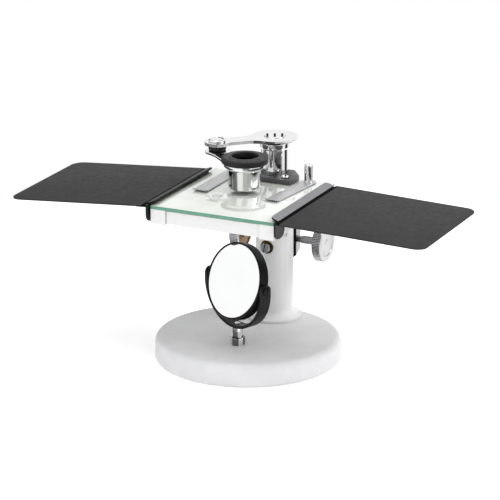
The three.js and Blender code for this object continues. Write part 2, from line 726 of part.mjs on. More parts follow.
// ---------------------------------------------------------------- mirror
function makeMirror() {
  const socketTop = base.height + stem.socketHeight;
  const socket = turnedRing(
    [
      [stem.radius + 0.2, base.height + 0.05],
      [stem.socketRadius, base.height + 0.05],
      [stem.socketRadius, socketTop - 0.5],
      [stem.socketRadius - 0.5, socketTop],
      [stem.radius + 0.2, socketTop],
    ],
    medium,
  );
  place(microscope, "mirror_socket", socket, chrome, mirror.x, mirror.y, 0);

  const swivel = subgroup(microscope, mirror.x, mirror.y, mirror.pivotZ);
  swivel.rotation.z = mirror.forkTurn * degree;
  const outer = fork.innerRadius + fork.thickness;
  const inner = fork.innerRadius;
  const band = [
    [-outer, 0],
    ...arc(0, -fork.archDrop, outer, 180, 360, 20),
    [outer, 0],
    [inner, 0],
    ...arc(0, -fork.archDrop, inner, 360, 180, 20),
    [-inner, 0],
  ];
  const hoop = slab(band, -fork.halfWidth, fork.halfWidth).rotateX(Math.PI / 2);
  const ears = [-1, 1].map((side) => {
    const ear = alongX(rod(fork.earRadius, inner, outer, medium));
    return side < 0 ? ear.rotateZ(Math.PI) : ear;
  });
  const pivotBore = alongX(rod(1.7, -40, 40, small));
  const archLow = -fork.archDrop - outer;
  const stemBore = rod(2.1, archLow - 2, archLow + fork.thickness + 2, small);
  place(swivel, "mirror_fork", cut(join(hoop, ...ears), pivotBore, stemBore), blackPaint);

  const stemTop = archLow - 0.05;
  const stemLow = base.height + 0.6 - mirror.pivotZ;
  const stemBody = join(
    rod(stem.radius, stemLow, stemTop, medium),
    rod(2, stemTop - 1, archLow + fork.thickness + 0.6, small),
    rod(stem.radius - 1, stemLow - 6, stemLow + 1, small),
  );
  place(swivel, "mirror_stem", stemBody, chrome);
  for (const [side, label] of [[-1, "left"], [1, "right"]]) {
    const screw = alongX(slottedScrew(3, 1.3, 1.5, 4.5).translate(0, 0, outer + 0.05));
    if (side < 0) screw.rotateZ(Math.PI);
    place(swivel, `mirror_pivot_screw_${label}`, screw, blackPaint);
  }

  const cell = subgroup(swivel, 0, 0, 0);
  cell.rotation.x = mirror.tilt * degree;
  const { halfDepth, lip, glassThickness } = mirrorCell;
  const seatRadius = mirror.glassRadius + 0.1;
  const floor = halfDepth - lip - glassThickness - 0.1;
  const ring = turned(
    [
      [0, -floor],
      [seatRadius, -floor],
      [seatRadius, -halfDepth],
      [mirror.cellRadius - 0.5, -halfDepth],
      [mirror.cellRadius, -halfDepth + 0.6],
      [mirror.cellRadius, halfDepth - 0.6],
      [mirror.cellRadius - 0.5, halfDepth],
      [seatRadius, halfDepth],
      [seatRadius, floor],
      [0, floor],
    ],
    fine,
  );
  const screwBores = alongX(rod(1.65, -40, 40, small));
  const middle = rod(mirror.glassRadius - 3, -10, 10, medium);
  place(cell, "mirror_cell", cut(alongFront(ring), cut(screwBores, middle)), blackPaint);
  const faceDepth = halfDepth - lip;
  const plane = rod(mirror.glassRadius, faceDepth - glassThickness, faceDepth, fine);
  place(cell, "plane_mirror", alongFront(plane), mirrorGlass);
  const dish = 1;
  const dishRadius = (mirror.glassRadius ** 2 + dish ** 2) / (2 * dish);
  const dishProfile = Array.from({ length: 6 }, (_, i) => {
    const r = (mirror.glassRadius * i) / 5;
    return [r, faceDepth - dish + dishRadius - Math.sqrt(dishRadius ** 2 - r * r)];
  });
  const back = faceDepth - glassThickness;
  const concave = turned([...dishProfile, [mirror.glassRadius, back], [0, back]], fine);
  place(cell, "concave_mirror", alongRear(concave), mirrorGlass);
}

// ---------------------------------------------------------------- hand rests
// Drawn for the user's right and mirrored for the left, so each droops outward from its hook.
function makeHandRest(label, side, droopAngle) {
  const rest = new THREE.Group();
  microscope.add(rest);
  const { innerEdge, length, front, rear, top, thickness, corner } = handRest;
  const outline = [
    [0, front + 1.5],
    [1.5, front],
    ...arc(length - corner, front + corner, corner, 270, 360, 5),
    ...arc(length - corner, rear - corner, corner, 0, 90, 5),
    [1.5, rear],
    [0, rear - 1.5],
  ];
  const leaf = slab(outline, -thickness, 0).rotateY(droopAngle * degree).translate(innerEdge, 0, top);
  place(rest, `hand_rest_${label}`, leaf.scale(side, 1, 1), blackPaint);

  const underLeaf = -thickness - 0.1;
  const { webX, webWidth, lipWidth, lipCorner } = hook;
  const lipOutline = [
    [0, hook.front],
    [0, hook.rear],
    ...arc(-lipWidth + lipCorner, hook.rear - lipCorner, lipCorner, 90, 180, 3),
    ...arc(-lipWidth + lipCorner, hook.front + lipCorner, lipCorner, 180, 270, 3),
  ];
  const lip = slab(lipOutline, -hook.thickness, 0)
    .rotateY(hook.lipTilt * degree)
    .translate(webX + webWidth, 0, hook.lipZ);
  const web = block(webX, webX + webWidth, hook.front, hook.rear, top - 2.6, hook.lipZ - 0.3);
  const flange = block(webX - innerEdge, 8, hook.front, hook.rear, underLeaf - hook.thickness, underLeaf);
  const tabs = tab.fronts.map((start) => {
    const end = start + tab.width;
    const bend = tab.lowest + tab.corner;
    const outline = [
      [start, tab.top],
      ...arc(start + tab.corner, bend, tab.corner, 180, 270, 4),
      ...arc(end - tab.corner, bend, tab.corner, 270, 360, 4),
      [end, tab.top],
    ];
    return slab(outline, tab.x, tab.x + hook.thickness).rotateX(Math.PI / 2).rotateZ(Math.PI / 2);
  });
  const strip = join(lip, web, flange.rotateY(droopAngle * degree).translate(innerEdge, 0, top), ...tabs);
  place(rest, `hand_rest_hook_${label}`, strip.scale(side, 1, 1), blackPaint);
}

makeBase();
makePillar();
makeGuideScrew();
makeStageFrame();
makeStageGlass();
makeGuidePlate();
makeClip("left", -1, clip.leftTurn);
makeClip("right", 1, clip.rightTurn);
makeFrictionScrew();
makeHousing();
makePinion();
const carrier = makePost();
makeLens(makeLowerArm(makeUpperArm(carrier)));
makeMirror();
makeHandRest("left", -1, droop.left);
makeHandRest("right", 1, droop.right);

export default microscope;
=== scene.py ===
"""Looks of the dissecting microscope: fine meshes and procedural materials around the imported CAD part.

Shapes are drawn in millimetres and turned into metres by one scale. Places come from the CAD nodes'
boxes and from the joints in the record, so each piece sits where its CAD solid is.
"""
import json
import math

import bmesh
import bpy
from mathutils import Matrix, Vector


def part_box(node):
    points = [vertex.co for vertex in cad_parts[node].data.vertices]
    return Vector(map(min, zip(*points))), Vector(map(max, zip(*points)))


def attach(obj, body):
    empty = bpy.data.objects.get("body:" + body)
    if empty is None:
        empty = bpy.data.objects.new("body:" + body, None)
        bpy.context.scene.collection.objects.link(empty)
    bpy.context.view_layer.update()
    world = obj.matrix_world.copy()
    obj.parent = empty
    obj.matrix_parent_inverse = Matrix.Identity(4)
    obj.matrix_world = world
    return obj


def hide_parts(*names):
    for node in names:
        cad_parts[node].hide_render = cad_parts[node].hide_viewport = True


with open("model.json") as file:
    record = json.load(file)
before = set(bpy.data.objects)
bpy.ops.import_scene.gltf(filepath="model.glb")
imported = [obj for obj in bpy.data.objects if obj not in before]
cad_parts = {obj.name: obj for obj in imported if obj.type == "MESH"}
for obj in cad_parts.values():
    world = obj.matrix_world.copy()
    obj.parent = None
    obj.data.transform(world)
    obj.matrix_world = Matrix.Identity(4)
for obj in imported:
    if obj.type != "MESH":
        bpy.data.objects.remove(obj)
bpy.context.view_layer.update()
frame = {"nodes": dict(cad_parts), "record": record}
record = frame["record"]

MM = 0.001
ROUND = 128  # facets round a large turned piece
SMALL_ROUND = 48
JOINTS = {joint["name"]: joint for joint in record["behaviour"]["joints"]}
BODY_OF = {node: body for body, nodes in record["behaviour"]["bodies"].items() for node in nodes}


# ---------------------------------------------------------------- places read from the frame
def extent(node):
    """A CAD node's lowest and highest corner in millimetres."""
    low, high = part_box(node)
    return low / MM, high / MM


def middle(node):
    low, high = extent(node)
    return (low + high) / 2


def joint_place(name):
    return Vector(JOINTS[name]["pos_m"]) / MM


# ---------------------------------------------------------------- mesh helpers
def new_object(name, shape):
    mesh = bpy.data.meshes.new(name)
    bmesh.ops.recalc_face_normals(shape, faces=shape.faces)
    shape.to_mesh(mesh)
    shape.free()
    made = bpy.data.objects.new(name, mesh)
    bpy.context.scene.collection.objects.link(made)
    return made


def soften(points, radius, closed=False):
    """Rounds the corners of a line of points with small arcs of about this radius."""
    count = len(points)
    result = []
    for i, here in enumerate(points):
        if not closed and i in (0, count - 1):
            result.append(tuple(here))
            continue
        here = Vector(here)
        before = Vector(points[i - 1])
        after = Vector(points[(i + 1) % count])
        into, out = before - here, after - here
        reach = min(radius, into.length * 0.45, out.length * 0.45)
        if reach < 1e-4 or into.angle(out) > math.radians(172):
            result.append(tuple(here))
            continue
        start = here + into.normalized() * reach
        end = here + out.normalized() * reach
        for t in (0, 0.25, 0.5, 0.75, 1):
            blend = start * (1 - t) ** 2 + here * 2 * t * (1 - t) + end * t ** 2
            result.append(tuple(blend))
    return result


def arc(centre, radius, start, end, steps):
    """Points along an arc, from one angle to another in degrees."""
    points = []
    for i in range(steps + 1):
        angle = math.radians(start + (end - start) * i / steps)
        points.append((centre[0] + radius * math.cos(angle), centre[1] + radius * math.sin(angle)))
    return points


def turned(name, profile, facets=ROUND, ring=False, radius_at=None):
    """A profile of (radius, height) turned about Z. radius_at(r, z, facet) may shape the rim."""
    shape = bmesh.new()
    loops = []
    for r, z in profile:
        if r < 1e-5:
            loops.append([shape.verts.new((0, 0, z * MM))])
            continue
        loop = []
        for i in range(facets):
            angle = 2 * math.pi * i / facets
            local = radius_at(r, z, i) if radius_at else r
            loop.append(shape.verts.new((local * MM * math.cos(angle), local * MM * math.sin(angle), z * MM)))
        loops.append(loop)
    pairs = list(zip(loops, loops[1:]))
    if ring:
        pairs.append((loops[-1], loops[0]))
    for lower, upper in pairs:
        for i in range(facets):
            j = (i + 1) % facets
            if len(lower) == 1 and len(upper) == 1:
                break
            if len(lower) == 1:
                shape.faces.new((lower[0], upper[i], upper[j]))
            elif len(upper) == 1:
                shape.faces.new((lower[i], lower[j], upper[0]))
            else:
                shape.faces.new((lower[i], lower[j], upper[j], upper[i]))
    return new_object(name, shape)


def slab(name, outline, z0, z1, bevel=0.2, segments=2):
    """A flat outline of (x, y) points given thickness, with its edges rounded over."""
    shape = bmesh.new()
    low = [shape.verts.new((x * MM, y * MM, z0 * MM)) for x, y in outline]
    high = [shape.verts.new((x * MM, y * MM, z1 * MM)) for x, y in outline]
    shape.faces.new(low)
    shape.faces.new(high)
    count = len(outline)
    for i in range(count):
        j = (i + 1) % count
        shape.faces.new((low[i], low[j], high[j], high[i]))
    made = new_object(name, shape)
    if bevel:
        round_edges(made, bevel, segments)
    return made


def block(name, low, high, bevel=0.3, segments=3):
    outline = [(low[0], low[1]), (high[0], low[1]), (high[0], high[1]), (low[0], high[1])]
    return slab(name, outline, low[2], high[2], bevel, segments)


def apply_modifiers(made):
    graph = bpy.context.evaluated_depsgraph_get()
    baked = bpy.data.meshes.new_from_object(made.evaluated_get(graph))
    old = made.data
    made.modifiers.clear()
    made.data = baked
    bpy.data.meshes.remove(old)


def round_edges(made, width, segments=2, angle=32):
    bevel = made.modifiers.new("edges", "BEVEL")
    bevel.width = width * MM
    bevel.segments = segments
    bevel.limit_method = "ANGLE"
    bevel.angle_limit = math.radians(angle)
    bevel.use_clamp_overlap = True
    apply_modifiers(made)


def combine(made, others, operation):
    for other in others:
        step = made.modifiers.new(operation, "BOOLEAN")
        step.operation = operation
        step.solver = "EXACT"
        step.object = other
        apply_modifiers(made)
        bpy.data.objects.remove(other)
    return made


def divide(made, x):
    """Adds edges round a piece where it crosses this x, so that its two sides can take two finishes."""
    shape = bmesh.new()
    shape.from_mesh(made.data)
    everything = [*shape.verts, *shape.edges, *shape.faces]
    bmesh.ops.bisect_plane(shape, geom=everything, plane_co=(x * MM, 0, 0), plane_no=(1, 0, 0))
    shape.to_mesh(made.data)
    shape.free()


def cut(made, *tools):
    return combine(made, tools, "DIFFERENCE")


def join(made, *others):
    return combine(made, others, "UNION")


def rod(name, radius, z0, z1, facets=SMALL_ROUND):
    return turned(name, [(0, z0), (radius, z0), (radius, z1), (0, z1)], facets)


def set_matrix(made, matrix):
    made.data.transform(matrix)
    return made


def turn(made, axis, degrees):
    return set_matrix(made, Matrix.Rotation(math.radians(degrees), 4, axis))


def shift(made, x=0, y=0, z=0):
    return set_matrix(made, Matrix.Translation((x * MM, y * MM, z * MM)))


def mirrored(made):
    set_matrix(made, Matrix.Scale(-1, 4, (1, 0, 0)))
    made.data.flip_normals()
    return made


def along_x(made):
    return turn(made, "Y", 90)


def along_front(made):
    return turn(made, "X", 90)


def along_rear(made):
    return turn(made, "X", -90)


def stand_up(made):
    """Turns an outline drawn as (y, z) and given thickness along Z into one with its thickness along X."""
    turn(made, "X", 90)
    return turn(made, "Z", 90)


def second_finish(made, material, chosen):
    """Gives one more material to the faces that chosen() picks."""
    made.data.materials.append(material)
    for face in made.data.polygons:
        if chosen(face):
            face.material_index = len(made.data.materials) - 1


def show(made, node, material, sharp=34):
    """Shades a piece, gives it its material, and lets it stand for its CAD node on that node's body."""
    mesh = made.data
    mesh.polygons.foreach_set("use_smooth", [True] * len(mesh.polygons))
    mesh.set_sharp_from_angle(angle=math.radians(sharp))
    mesh.materials.clear()
    mesh.materials.append(material)
    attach(made, BODY_OF[node])
    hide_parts(node)
    return made


# ---------------------------------------------------------------- materials
def feed(tree, sockets, values):
    """Gives each socket its value: a link from another socket, an RGB colour, or a number."""
    for socket, given in zip(sockets, values):
        if isinstance(given, bpy.types.NodeSocket):
            tree.links.new(given, socket)
        elif isinstance(given, tuple):
            socket.default_value = (*given, 1)
        else:
            socket.default_value = given


def mixed(tree, factor, first, second):
    """A colour between two colours."""
    mix = tree.nodes.new("ShaderNodeMix")
    mix.data_type = "RGBA"
    feed(tree, (mix.inputs["Factor"], mix.inputs[6], mix.inputs[7]), (factor, first, second))
    return mix.outputs[2]


class Nodes:
    """A material's node tree with short calls for the nodes that these finishes share."""

    def __init__(self, name):
        self.material = bpy.data.materials.new(name)
        self.material.use_nodes = True
        self.tree = self.material.node_tree
        self.shader = self.tree.nodes["Principled BSDF"]
        self.place = self.tree.nodes.new("ShaderNodeTexCoord").outputs["Object"]

    def set(self, **values):
        for key, value in values.items():
            self.shader.inputs[key.replace("_", " ")].default_value = value
        return self

    def link(self, out, key):
        self.tree.links.new(out, self.shader.inputs[key])

    def noise(self, scale, detail=4.0, stretch=(1, 1, 1), roughness=0.55):
        mapping = self.tree.nodes.new("ShaderNodeMapping")
        mapping.inputs["Scale"].default_value = stretch
        noise = self.tree.nodes.new("ShaderNodeTexNoise")
        noise.inputs["Scale"].default_value = scale
        noise.inputs["Detail"].default_value = detail
        noise.inputs["Roughness"].default_value = roughness
        self.tree.links.new(self.place, mapping.inputs["Vector"])
        self.tree.links.new(mapping.outputs["Vector"], noise.inputs["Vector"])
        return noise.outputs["Fac"]

    def ramp(self, value, stops):
        ramp = self.tree.nodes.new("ShaderNodeValToRGB")
        elements = ramp.color_ramp.elements
        while len(elements) < len(stops):
            elements.new(0.5)
        for element, (position, colour) in zip(elements, stops):
            element.position = position
            element.color = (*colour, 1)
        self.tree.links.new(value, ramp.inputs["Fac"])
        return ramp.outputs["Color"]

    def grey_ramp(self, value, low, high, start=0.3, end=0.7):
        return self.ramp(value, [(start, (low,) * 3), (end, (high,) * 3)])

    def mix(self, factor, first, second):
        return mixed(self.tree, factor, first, second)

    def worn_edges(self, start=0.53, end=0.6):
        geometry = self.tree.nodes.new("ShaderNodeNewGeometry")
        return self.grey_ramp(geometry.outputs["Pointiness"], 0, 1, start, end)

    def bump(self, height, strength, distance):
        bump = self.tree.nodes.new("ShaderNodeBump")
        bump.inputs["Strength"].default_value = strength
        bump.inputs["Distance"].default_value = distance * MM
        self.tree.links.new(height, bump.inputs["Height"])
        self.link(bump.outputs["Normal"], "Normal")


def enamel(name, colour, roughness, peel, mottle, gloss, peel_scale=1100, rubbed=True):
    """Stoved enamel: orange peel, faint mottling and dust in the gloss. Rubbed edges need a fine mesh."""
    nodes = Nodes(name).set(Metallic=0.0, Specular_IOR_Level=gloss)
    darker = tuple(c * (1 - mottle) for c in colour)
    lighter = tuple(min(1, c * (1 + mottle * 0.6)) for c in colour)
    base = nodes.ramp(nodes.noise(45, 5), [(0.3, darker), (0.7, lighter)])
    if rubbed:
        edge = tuple(c * 0.8 + 0.1 for c in colour)
        base = nodes.mix(nodes.worn_edges(), base, edge)
    nodes.link(base, "Base Color")
    nodes.link(nodes.grey_ramp(nodes.noise(260, 6), roughness - 0.06, roughness + 0.08), "Roughness")
    nodes.bump(nodes.noise(peel_scale, 3), peel, 0.05)
    return nodes.material


def plated(name, colour, roughness, haze, brushed=(1, 1, 1), brush=0.05, stain=0.1):
    """Polished or brushed metal with hazy handling marks and fine lines along one direction."""
    nodes = Nodes(name).set(Metallic=1.0)
    dull = tuple(c * (1 - stain) for c in colour)
    nodes.link(nodes.ramp(nodes.noise(60, 5), [(0.35, colour), (0.75, dull)]), "Base Color")
    marks = nodes.noise(170, 7, roughness=0.65)
    nodes.link(nodes.grey_ramp(marks, roughness, roughness + haze, 0.4, 0.72), "Roughness")
    nodes.bump(nodes.noise(900, 3, brushed), brush, 0.01)
    return nodes.material


def chrome_with_painted_reflections(name, dark, light):
    """Chrome with painted reflections: soft dark and light bands are painted along it, standing for the
    reflections round a polished tube.
    """
    nodes = Nodes(name).set(Metallic=1.0)
    bands = nodes.noise(190, 1, (1, 1, 0.02), 0.4)
    nodes.link(nodes.grey_ramp(bands, dark, light, 0.42, 0.52), "Base Color")
    nodes.link(nodes.grey_ramp(nodes.noise(170, 7), 0.06, 0.14, 0.4, 0.72), "Roughness")
    return nodes.material


def moulded(name, colour, roughness, grain, bloom=0.5, gloss=0.4):
    """Rubber or plastic with a fine grain and a dusty bloom."""
    nodes = Nodes(name).set(Metallic=0.0, Specular_IOR_Level=gloss)
    bloomed = tuple(c + (0.16 - c) * 0.25 * bloom for c in colour)
    base = nodes.ramp(nodes.noise(130, 6), [(0.35, colour), (0.75, bloomed)])
    edge = tuple(c + (0.3 - c) * 0.3 * bloom for c in colour)
    nodes.link(nodes.mix(nodes.worn_edges(), base, edge), "Base Color")
    nodes.link(nodes.grey_ramp(nodes.noise(400, 5), roughness - 0.08, roughness + 0.1), "Roughness")
    nodes.bump(nodes.noise(1500, 4), grain, 0.05)
    return nodes.material


def clear(name, colour, roughness, transmission=1.0):
    """Glass with faint wiping marks."""
    nodes = Nodes(name).set(Metallic=0.0, Transmission_Weight=transmission, IOR=1.5)
    pale = tuple(min(1, c * 1.02) for c in colour)
    nodes.link(nodes.ramp(nodes.noise(70, 4), [(0.3, colour), (0.7, pale)]), "Base Color")
    wiped = nodes.noise(90, 8, (1, 6, 1), 0.7)
    nodes.link(nodes.grey_ramp(wiped, roughness, roughness + 0.05, 0.45, 0.8), "Roughness")
    return nodes.material


def frosted(name, dark, pale):
    """Plate glass with a glossy face over a cloudy body, which gives back part of what it mirrors."""
    nodes = Nodes(name).set(Metallic=0.15, Coat_Weight=1.0, Coat_IOR=1.7, Coat_Roughness=0.06)
    nodes.link(nodes.ramp(nodes.noise(22, 4), [(0.32, dark), (0.62, pale)]), "Base Color")
    wiped = nodes.noise(90, 8, (1, 6, 1), 0.7)
    nodes.link(nodes.grey_ramp(wiped, 0.05, 0.12, 0.45, 0.8), "Roughness")
    return nodes.material


def silvered(name):
    nodes = Nodes(name).set(Metallic=1.0)
    silver_tones = [(0.3, (0.99, 0.99, 0.99)), (0.7, (0.95, 0.96, 0.96))]
    nodes.link(nodes.ramp(nodes.noise(50, 4), silver_tones), "Base Color")
    nodes.link(nodes.grey_ramp(nodes.noise(220, 8), 0.01, 0.05, 0.5, 0.8), "Roughness")
    return nodes.material


grey_enamel = enamel("grey_enamel", (0.65, 0.65, 0.66), 0.45, 0.6, 0.07, 0.2)
white_enamel = enamel("white_enamel", (0.7, 0.7, 0.7), 0.45, 0.25, 0.04, 0.1)
frame_enamel = enamel("frame_enamel", (0.8, 0.8, 0.8), 0.4, 0.3, 0.03, 0.2)
black_enamel = enamel("black_enamel", (0.008, 0.008, 0.009), 0.34, 0.25, 0.3, 0.12, rubbed=False)
# Black without gloss: painted shade in the pinion gap, the barrel's bore and along the hand rests' inner
# edges.
painted_shade_black = enamel("painted_shade_black", (0.004, 0.004, 0.004), 0.7, 0.3, 0.3, 0.02, rubbed=False)
leaf_enamel = enamel("leaf_enamel", (0.034, 0.034, 0.035), 0.6, 0.9, 0.1, 0.08, 2600)
hook_enamel = enamel("hook_enamel", (0.01, 0.01, 0.011), 0.42, 0.4, 0.2, 0.15, rubbed=False)
plate_enamel = enamel("plate_enamel", (0.012, 0.012, 0.013), 0.34, 0.3, 0.2, 0.32)
bright_chrome = plated("bright_chrome", (0.86, 0.86, 0.87), 0.05, 0.07)
# Tube chrome: its dark and light bands are painted reflections.
tube_chrome_painted_reflections = chrome_with_painted_reflections("tube_chrome_painted_reflections", 0.16, 0.88)
arm_chrome = plated("arm_chrome", (0.88, 0.88, 0.89), 0.09, 0.1)
knurl_chrome = plated("knurl_chrome", (0.5, 0.5, 0.51), 0.25, 0.12)
knob_face = plated("knob_face", (0.52, 0.52, 0.52), 0.34, 0.1, brush=0.12)
satin_steel = plated("satin_steel", (0.64, 0.64, 0.65), 0.46, 0.12, (1, 14, 1), 0.25)
satin_edge = plated("satin_edge", (0.9, 0.9, 0.9), 0.5, 0.1)
cover_steel = plated("cover_steel", (0.4, 0.4, 0.41), 0.36, 0.12)
# Light grey for the right hook's lip: a painted sheen on the same black paint that the left lip shows.
right_lip_painted_sheen = plated("right_lip_painted_sheen", (0.3, 0.3, 0.31), 0.42, 0.12, (1, 14, 1), 0.2)
# Dark steel for screws and the shaft, and painted shade on the upper arm's elbow end.
dark_steel_and_painted_shade = plated("dark_steel_and_painted_shade", (0.3, 0.3, 0.31), 0.3, 0.15)
# Dark steel for the blackened studs, and painted shade in the knob grooves and under the arm.
blackening_and_painted_shade = plated("blackening_and_painted_shade", (0.05, 0.05, 0.052), 0.4, 0.15)
turned_brass = plated("turned_brass", (0.13, 0.065, 0.018), 0.2, 0.16, stain=0.6)
black_rubber = moulded("black_rubber", (0.008, 0.008, 0.009), 0.45, 0.4, bloom=0.3, gloss=0.28)
pad_rubber = moulded("pad_rubber", (0.02, 0.02, 0.02), 0.8, 0.7)
natural_nylon = moulded("natural_nylon", (0.7, 0.68, 0.6), 0.5, 0.2)
stage_opal = frosted("stage_opal", (0.52, 0.55, 0.49), (0.72, 0.73, 0.71))
# Darker green for a strip of the glass top: painted shade and reflection along the left edge.
stage_painted_edge_shade = frosted("stage_painted_edge_shade", (0.28, 0.36, 0.25), (0.4, 0.46, 0.34))
stage_green = clear("stage_green", (0.16, 0.42, 0.29), 0.12, 0.35)
lens_clear = clear("lens_clear", (0.94, 0.97, 0.98), 0.01)
silver = silvered("silver")


# ---------------------------------------------------------------- shared small parts
def slotted_screw(name, head, height, shank, length):
    """A cheese-head screw: its head stands on height 0 and its shank runs down."""
    shoulder = height * 0.7
    lower = [(0, -length), (shank, -length), (shank, 0)]
    upper = [(head, 0), (head, shoulder), (head * 0.8, height), (0, height)]
    made = turned(name, soften([*lower, *upper], 0.25), SMALL_ROUND)
    half_slot = head * 0.14
    reach = head * 1.3
    slot_floor = height - height * 0.4
    return cut(made, block("slot_tool", (-reach, -half_slot, slot_floor), (reach, half_slot, height + 2), 0))


def washer(name, ring, facets=ROUND, radius=0.3):
    """A closed (radius, height) profile with softened corners, turned about Z."""
    return turned(name, soften(ring, radius, True), facets, True)


# ---------------------------------------------------------------- base and pillar
PILLAR = joint_place("upper_arm_swing")
PILLAR.z = 0
POST_BORE = 9.85


def make_base():
    low, high = extent("base")
    radius, top = high.x, high.z
    edge = 4.5
    pad_radius = extent("base_pad")[1].x
    pad_top = 1.5
    recess = pad_radius + 0.3
    recess_top = pad_top + 0.3
    floor = [(0, recess_top), (recess, recess_top), (recess, low.z)]
    underside = [*floor, (radius - 1.2, low.z), (radius, low.z + 1.2)]
    shoulder = arc((radius - edge, top - edge), edge, 0, 90, 14)
    base = turned("base_casting", [*soften(underside, 0.4), *shoulder, (0, top)], 192)
    socket = middle("mirror_socket")
    bolt = rod("bolt_tool", 3.3, -1, top + 1)
    pocket = rod("pocket_tool", 7, -1, 8)
    well = rod("well_tool", 2.8, 8, top + 1)
    at_pillar = [shift(tool, PILLAR.x, PILLAR.y) for tool in (bolt, pocket)]
    cut(base, *at_pillar, shift(well, socket.x, socket.y))
    show(base, "base", grey_enamel)
    sheet = soften([(0, 0), (pad_radius, 0), (pad_radius, pad_top), (0, pad_top)], 0.4)
    show(turned("base_pad_sheet", sheet, 160), "base_pad", pad_rubber)


def make_pillar():
    low, high = extent("pillar")
    foot = high.x
    radius = 13.3
    fillet_top = low.z + 7.9
    fillet = arc((foot, fillet_top), foot - radius, 270, 180, 18)
    sole = [(0, low.z), (foot - 0.4, low.z), (foot, low.z + 0.5)]
    rim = [(radius, high.z - 0.4), (radius - 0.4, high.z), (0, high.z)]
    pillar = turned("pillar_column", [*sole, *fillet, *rim], 144)
    bore = rod("bore_tool", POST_BORE, 35, high.z + 1, 96)
    bolt = rod("bolt_tool", 3.2, low.z - 1, 32)
    cover_low, cover_high = extent("pinion_cover")
    flat = block("flat_tool", (-16, 9.1, cover_low.z - 0.3), (16, 18, cover_high.z + 0.3), 0)
    bush_hole = shift(along_front(rod("bush_tool", 4.85, 9, 17)), 0, 0, middle("friction_bush").z)
    guide = guide_pose(rod("guide_tool", 1.5, 9, 17))
    cut(pillar, bore, bolt, flat, bush_hole, guide)
    shift(pillar, PILLAR.x, PILLAR.y)
    show(pillar, "pillar", white_enamel)


def guide_pose(made):
    """Points a small screw at the pillar's axis from the user's right, just under the housing's top."""
    along_x(made)
    turn(made, "Z", -30)
    return shift(made, 0, 0, 80.6)


def make_guide_screw():
    screw = shift(slotted_screw("guide_screw_fine", 1.8, 1, 1.3, 2.6), 0, 0, 13.4)
    guide_pose(screw)
    shift(screw, PILLAR.x, PILLAR.y)
    show(screw, "post_guide_screw", satin_steel)


# ---------------------------------------------------------------- stage
def make_stage_glass():
    low, high = extent("stage_glass")
    plate = block("stage_plate", low, high, 0.35, 2)
    notch = shift(rod("notch_tool", POST_BORE + 0.6, 100, 130, 96), PILLAR.x, PILLAR.y)
    holes = []
    for label in ("left", "right"):
        pin = joint_place(f"clip_{label}_swivel")
        holes.append(shift(rod("hole_tool", 3.3, 100, 130), pin.x, pin.y))
        screw = middle(f"guide_plate_screw_{label}")
        holes.append(shift(rod("hole_tool", 1.8, 100, 130), screw.x, screw.y))
    cut(plate, notch, *holes)
    painted_strip_width = 2.5
    painted_strip_edge = low.x + painted_strip_width
    divide(plate, painted_strip_edge)
    show(plate, "stage_glass", stage_opal)
    second_finish(plate, stage_green, lambda face: abs(face.normal.z) < 0.5)
    # The strip along the glass top's left edge is painted darker green: painted shade and reflection.
    second_finish(plate, stage_painted_edge_shade, lambda face: face.normal.z > 0.5 and face.center.x < painted_strip_edge * MM)


def make_guide_plate():
    low, high = extent("guide_plate")
    shoulder = 39.5
    tail = 12.5
    front = [(low.x, low.y), (high.x, low.y)]
    outline = [*front, (high.x, shoulder), (tail, high.y), (-tail, high.y), (low.x, shoulder)]
    plate = slab("guide_plate_fine", outline, low.z, high.z, 0)
    tools = [shift(rod("notch_tool", POST_BORE, 100, 130, 96), PILLAR.x, PILLAR.y)]
    for label in ("left", "right"):
        screw = middle(f"guide_plate_screw_{label}")
        tools.append(shift(rod("hole_tool", 1.7, 100, 130), screw.x, screw.y))
    cut(plate, *tools)
    round_edges(plate, 0.3, 2, 50)
    show(plate, "guide_plate", plate_enamel)
    for label in ("left", "right"):
        node = f"guide_plate_screw_{label}"
        spot = middle(node)
        screw = slotted_screw(f"{node}_fine", 2.7, 1.6, 1.4, 8.4)
        turn(screw, "Z", 35 if label == "left" else 110)
        shift(screw, spot.x, spot.y, extent(node)[1].z - 1.6)
        show(screw, node, bright_chrome)


def make_clips():
    top = extent("stage_glass")[1].z
    for label, strip_turn in (("left", 0), ("right", -5.5)):
        pin = joint_place(f"clip_{label}_swivel")
        strip = clip_strip(f"clip_strip_{label}_fine")
        turn(strip, "Z", strip_turn)
        show(shift(strip, pin.x, pin.y, top), f"clip_strip_{label}", satin_steel)
        low, high = extent(f"clip_pin_{label}")
        profile = [(0, low.z), (2.95, low.z), (2.95, high.z - 1.5), (2.5, high.z - 0.4), (0, high.z)]
        button = turned(f"clip_pin_{label}_fine", soften(profile, 0.6), 64)
        show(shift(button, pin.x, pin.y), f"clip_pin_{label}", bright_chrome)


def clip_strip(name):
    """A flat strip from its round end on the origin to its tip, which is bent up."""
    lie, thick, half, reach, rise = 0.35, 0.8, 5.2, 52, 1.3
    bend = 3.4 - reach
    upper = [(half, lie + thick), (bend, lie + thick), (-reach, lie + thick + rise)]
    lower = [(-reach, lie + rise), (bend, lie), (half, lie)]
    strip = stand_up(slab(name, soften(upper, 1.2) + soften(lower, 1.2), -half, half, 0))
    corner = block("corner_tool", (-half - 1, 0, -1), (half + 1, half + 2, 5), 0)
    cut(corner, rod("round_tool", half, -2, 6, 64))
    cut(strip, corner, rod("hole_tool", 3.05, -1, 5))
    round_edges(strip, 0.15, 2, 40)
    return strip


